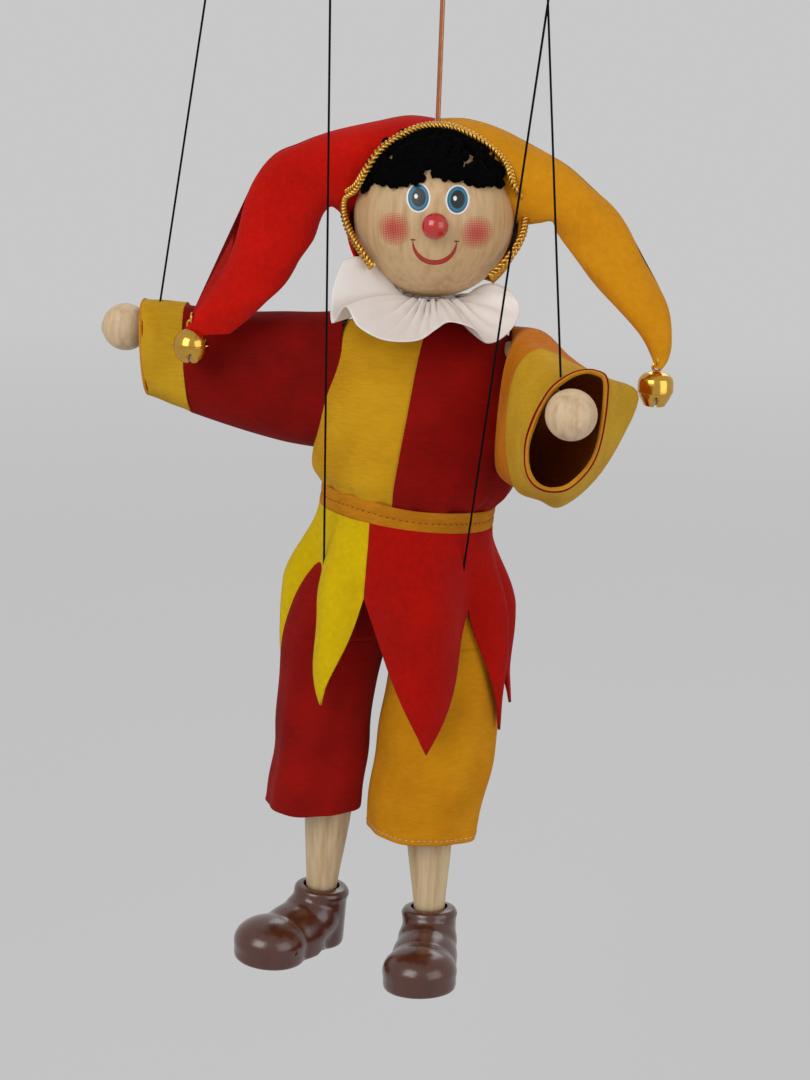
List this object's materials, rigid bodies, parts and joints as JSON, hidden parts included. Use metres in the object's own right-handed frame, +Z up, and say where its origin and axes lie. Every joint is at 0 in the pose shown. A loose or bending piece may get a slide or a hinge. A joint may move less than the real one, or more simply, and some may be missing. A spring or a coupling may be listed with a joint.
{
  "type": "marionette puppet",
  "caption": "String puppet of a jester: a wooden ball head, turned limbs and cloth costume hung from a wire and four strings under a wooden hand control.",
  "frame": {"origin": "centre of the hanging hole in the wooden control", "axes": "+Z up, the puppet faces -Y, its own left side is +X; the hanging hole runs along X"},
  "size_m": [0.2163, 0.1387, 0.4195],
  "materials": {
    "control_wood": "clear matt varnish",
    "peg_wood": "bare",
    "wire_steel": "coppered steel wire",
    "eye_steel": "zinc plated wire",
    "body_wood": "bare limewood",
    "face_wood": "satin clear lacquer",
    "red_gloss": "high gloss lacquer",
    "hair_plush": "long plush pile",
    "hat_felt_red": "felt",
    "gold_braid": "metallic plaited braid",
    "felt_red": "felt",
    "felt_yellow": "felt",
    "ruff_satin": "satin ribbon",
    "shirt_yellow": "plain weave cotton",
    "shirt_red": "plain weave cotton",
    "belt_tape": "folded bias tape",
    "shorts_red": "plain weave cotton",
    "shorts_orange": "plain weave cotton",
    "sleeve_red": "plain weave cotton",
    "sleeve_orange": "plain weave cotton",
    "cuff_yellow": "plain weave cotton",
    "thread_black": "twisted thread",
    "limb_wood": "bare turned wood",
    "shoe_brown": "gloss lacquer",
    "bell_gold": "polished"
  },
  "bodies": {
    "root": {"control_spine": "control_wood", "bar_pegs": "peg_wood", "hand_bar": "control_wood", "leg_bar": "control_wood", "head_wire": "wire_steel", "neck_bead": "eye_steel", "neck_eye": "eye_steel", "torso_block": "body_wood", "shoulder_eyes": "eye_steel", "pelvis": "body_wood", "waist_peg": "peg_wood", "hip_pins": "eye_steel", "shirt_right": "shirt_yellow", "shirt_left": "shirt_red", "ruff": "ruff_satin", "belt": "belt_tape", "peplum_right": "felt_yellow", "peplum_left": "felt_red", "hand_string_right": "thread_black", "hand_string_left": "thread_black", "knee_string_right": "thread_black", "knee_string_left": "thread_black"},
    "head": {"head_ball": "face_wood", "nose": "red_gloss", "hair": "hair_plush", "hat": "hat_felt_red", "hat_braid": "gold_braid", "horn_right": "felt_red", "horn_left": "felt_yellow", "tip_loop_right": "thread_black", "tip_loop_left": "thread_black"},
    "bell_right": {"bell_right": "bell_gold", "bell_pea_right": "bell_gold"},
    "arm_right": {"arm_eye_right": "eye_steel", "arm_dowel_right": "limb_wood", "hand_right": "limb_wood", "sleeve_right": "sleeve_red", "cuff_right": "cuff_yellow"},
    "thigh_right": {"thigh_right": "limb_wood", "thigh_eye_right": "eye_steel", "knee_pin_right": "eye_steel", "shorts_right": "shorts_red"},
    "shin_right": {"shin_right": "limb_wood", "ankle_peg_right": "peg_wood", "shoe_right": "shoe_brown"},
    "bell_left": {"bell_left": "bell_gold", "bell_pea_left": "bell_gold"},
    "arm_left": {"arm_eye_left": "eye_steel", "arm_dowel_left": "limb_wood", "hand_left": "limb_wood", "sleeve_left": "sleeve_orange", "cuff_left": "cuff_yellow"},
    "thigh_left": {"thigh_left": "limb_wood", "thigh_eye_left": "eye_steel", "knee_pin_left": "eye_steel", "shorts_left": "shorts_orange"},
    "shin_left": {"shin_left": "limb_wood", "ankle_peg_left": "peg_wood", "shoe_left": "shoe_brown"}
  },
  "joints": [
    {"name": "head_turn", "type": "hinge", "parent": "root", "child": "head", "pos_m": [0, 0, -0.117], "axis": [0, 0, 1], "range_deg": [-6, 24]},
    {"name": "bell_swing_right", "type": "hinge", "parent": "head", "child": "bell_right", "pos_m": [-0.0885, -0.014, -0.1586], "axis": [0, 1, 0], "range_deg": [-30, 30]},
    {"name": "bell_swing_left", "type": "hinge", "parent": "head", "child": "bell_left", "pos_m": [0.0835, -0.028, -0.1658], "axis": [0, 1, 0], "range_deg": [-30, 30]},
    {"name": "arm_lift_right", "type": "hinge", "parent": "root", "child": "arm_right", "pos_m": [-0.02874, 0.00024, -0.15836], "axis": [0.135, 0.9908, -0.0137], "range_deg": [-50, 35], "deforming": ["hand_string_right", "sleeve_right", "cuff_right"]},
    {"name": "arm_lift_left", "type": "hinge", "parent": "root", "child": "arm_left", "pos_m": [0.02917, -0.00175, -0.16424], "axis": [-0.967, -0.2351, 0.0982], "range_deg": [-40, 35], "deforming": ["hand_string_left", "sleeve_left", "cuff_left"]},
    {"name": "hip_swing_right", "type": "hinge", "parent": "root", "child": "thigh_right", "pos_m": [-0.0269, 0, -0.248], "axis": [-0.9985, 0, 0.0541], "range_deg": [-20, 75], "deforming": ["knee_string_right", "shorts_right", "peplum_right"]},
    {"name": "knee_bend_right", "type": "hinge", "parent": "thigh_right", "child": "shin_right", "pos_m": [-0.03047, 0, -0.31391], "axis": [0.9985, 0, -0.0541], "range_deg": [0, 90], "deforming": ["shorts_right"]},
    {"name": "hip_swing_left", "type": "hinge", "parent": "root", "child": "thigh_left", "pos_m": [0.00394, 0, -0.25114], "axis": [-0.9993, 0, -0.0366], "range_deg": [-20, 75], "deforming": ["knee_string_left", "shorts_left", "peplum_left"]},
    {"name": "knee_bend_left", "type": "hinge", "parent": "thigh_left", "child": "shin_left", "pos_m": [0.00635, -0.00575, -0.31684], "axis": [0.9993, 0, 0.0366], "range_deg": [0, 90], "deforming": ["shorts_left"]}
  ]
}
